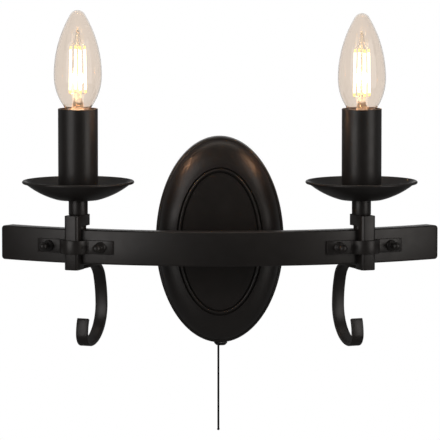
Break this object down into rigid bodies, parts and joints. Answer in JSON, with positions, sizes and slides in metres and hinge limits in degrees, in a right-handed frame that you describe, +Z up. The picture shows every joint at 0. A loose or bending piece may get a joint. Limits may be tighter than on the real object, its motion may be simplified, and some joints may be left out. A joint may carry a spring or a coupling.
{
  "type": "two-light wall lamp",
  "caption": "Wall lamp with an oval plate, a pull-cord switch and a curved bar whose ends carry candle lights in drip pans on clamp brackets with scroll hooks.",
  "frame": {"origin": "on the wall plane at the centre of the oval wall plate", "axes": "+Z up, -Y into the room, +X to the right when the lamp is seen from the room"},
  "size_m": [0.32, 0.0933, 0.3164],
  "materials": {
    "black_paint": "satin black paint",
    "zinc_steel": "zinc-plated steel",
    "brass": "plain brass",
    "white_plastic": "moulded white plastic",
    "holder_plastic": "moulded heat-resistant plastic",
    "black_plastic": "moulded black plastic",
    "wire_sleeve": "soft sleeve of the wires",
    "bulb_glass": "clear blown glass",
    "stem_glass": "clear pressed glass",
    "bulb_cap": "nickel-bright rolled thread",
    "bulb_insulator": "dark glazed insulator",
    "filament": "glowing coated rods",
    "cord": "braided black cord"
  },
  "bodies": {
    "lamp_frame": {"wall_bracket": "zinc_steel", "side_screws": "black_paint", "earth_screw": "brass", "terminal_block": "white_plastic", "terminal_screws": "brass", "backplate": "black_paint", "arm_tube": "black_paint", "arm_rod": "zinc_steel", "arm_washer": "zinc_steel", "arm_nut": "zinc_steel", "bar": "black_paint", "end_caps": "black_paint", "lamp_leads": "wire_sleeve", "spacers": "black_paint", "nipple_nuts": "zinc_steel", "strap_bolts": "black_paint", "hook_screws": "black_paint", "left_bracket": "black_paint", "left_strap": "black_paint", "left_hook": "black_paint", "left_stub": "black_paint", "left_drip_pan": "black_paint", "left_candle_tube": "black_paint", "left_nipple": "zinc_steel", "left_lampholder": "holder_plastic", "left_thread_shell": "brass", "left_contact": "brass", "right_bracket": "black_paint", "right_strap": "black_paint", "right_hook": "black_paint", "right_stub": "black_paint", "right_drip_pan": "black_paint", "right_candle_tube": "black_paint", "right_nipple": "zinc_steel", "right_lampholder": "holder_plastic", "right_thread_shell": "brass", "right_contact": "brass", "switch_case": "white_plastic", "switch_cover": "white_plastic", "switch_nozzle": "black_plastic", "switch_spindle": "zinc_steel", "switch_spring": "zinc_steel", "switch_leaves": "brass"},
    "left_bulb": {"left_bulb_glass": "bulb_glass", "left_bulb_cap": "bulb_cap", "left_bulb_base": "bulb_insulator", "left_bulb_stem": "stem_glass", "left_filaments": "filament", "left_filament_wires": "bulb_cap"},
    "right_bulb": {"right_bulb_glass": "bulb_glass", "right_bulb_cap": "bulb_cap", "right_bulb_base": "bulb_insulator", "right_bulb_stem": "stem_glass", "right_filaments": "filament", "right_filament_wires": "bulb_cap"},
    "cord_drum": {"switch_drum": "white_plastic"},
    "ratchet_rotor": {"switch_rotor": "brass"},
    "cord": {"pull_cord": "cord", "cord_bead": "black_plastic"}
  },
  "joints": [
    {"name": "left_bulb_out", "type": "slide", "parent": "lamp_frame", "child": "left_bulb", "axis": [0, 0, 1], "range_m": [0, 0.045]},
    {"name": "right_bulb_out", "type": "slide", "parent": "lamp_frame", "child": "right_bulb", "axis": [0, 0, 1], "range_m": [0, 0.045]},
    {"name": "drum_turn", "type": "hinge", "parent": "lamp_frame", "child": "cord_drum", "pos_m": [0.0041, -0.0084, -0.054], "axis": [0, -1, 0], "range_deg": [0, 92]},
    {"name": "cord_pull", "type": "slide", "parent": "lamp_frame", "child": "cord", "axis": [0, 0, -1], "range_m": [0, 0.008], "stiffness_N_per_m": 150},
    {"name": "rotor_turn", "type": "hinge", "parent": "lamp_frame", "child": "ratchet_rotor", "pos_m": [0.0041, -0.0049, -0.054], "axis": [0, -1, 0], "continuous": true}
  ],
  "couplings": [
    {"joint": "drum_turn", "follows": "cord_pull", "rad_per_m": 196.08}
  ]
}
